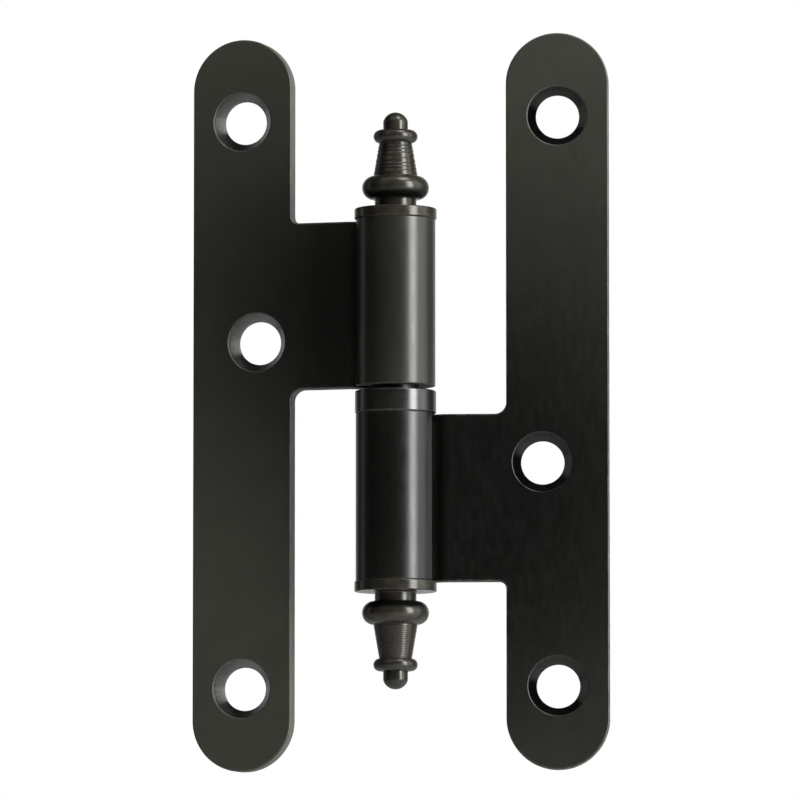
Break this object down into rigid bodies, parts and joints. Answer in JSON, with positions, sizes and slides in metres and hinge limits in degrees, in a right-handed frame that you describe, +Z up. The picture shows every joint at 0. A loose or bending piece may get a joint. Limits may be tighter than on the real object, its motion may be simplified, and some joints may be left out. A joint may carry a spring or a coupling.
{
  "type": "lift-off hinge",
  "caption": "Black steel lift-off door hinge: two H-shaped leaves with rolled knuckles turn on a fixed pin over a thrust ring, capped by turned finials.",
  "frame": {"origin": "centre of the lower leaf's two end screw holes, on that leaf's back face", "axes": "+Z up along the pin, the way the upper half lifts off; +Y out of the lower leaf's back face, into what it is screwed to; -Y is the countersunk front; +X from the pin towards the lower leaf's free edge"},
  "size_m": [0.0797, 0.0202, 0.14],
  "materials": {
    "leaf_finish": "satin black",
    "ring_finish": "satin black",
    "finial_finish": "satin dark bronze",
    "pin_finish": "turned bright steel"
  },
  "bodies": {
    "lower_half": {"lower_leaf": "leaf_finish", "pin": "pin_finish", "lower_finial": "finial_finish"},
    "ring": {"thrust_ring": "ring_finish"},
    "upper_half": {"upper_leaf": "leaf_finish", "upper_finial": "finial_finish"}
  },
  "joints": [
    {"name": "swing", "type": "hinge", "parent": "lower_half", "child": "ring", "pos_m": [-0.03065, -0.0038, 0], "axis": [0, 0, 1], "range_deg": [-145, 192.5]},
    {"name": "lift_off", "type": "slide", "parent": "ring", "child": "upper_half", "axis": [0, 0, 1], "range_m": [0, 0.028]}
  ]
}
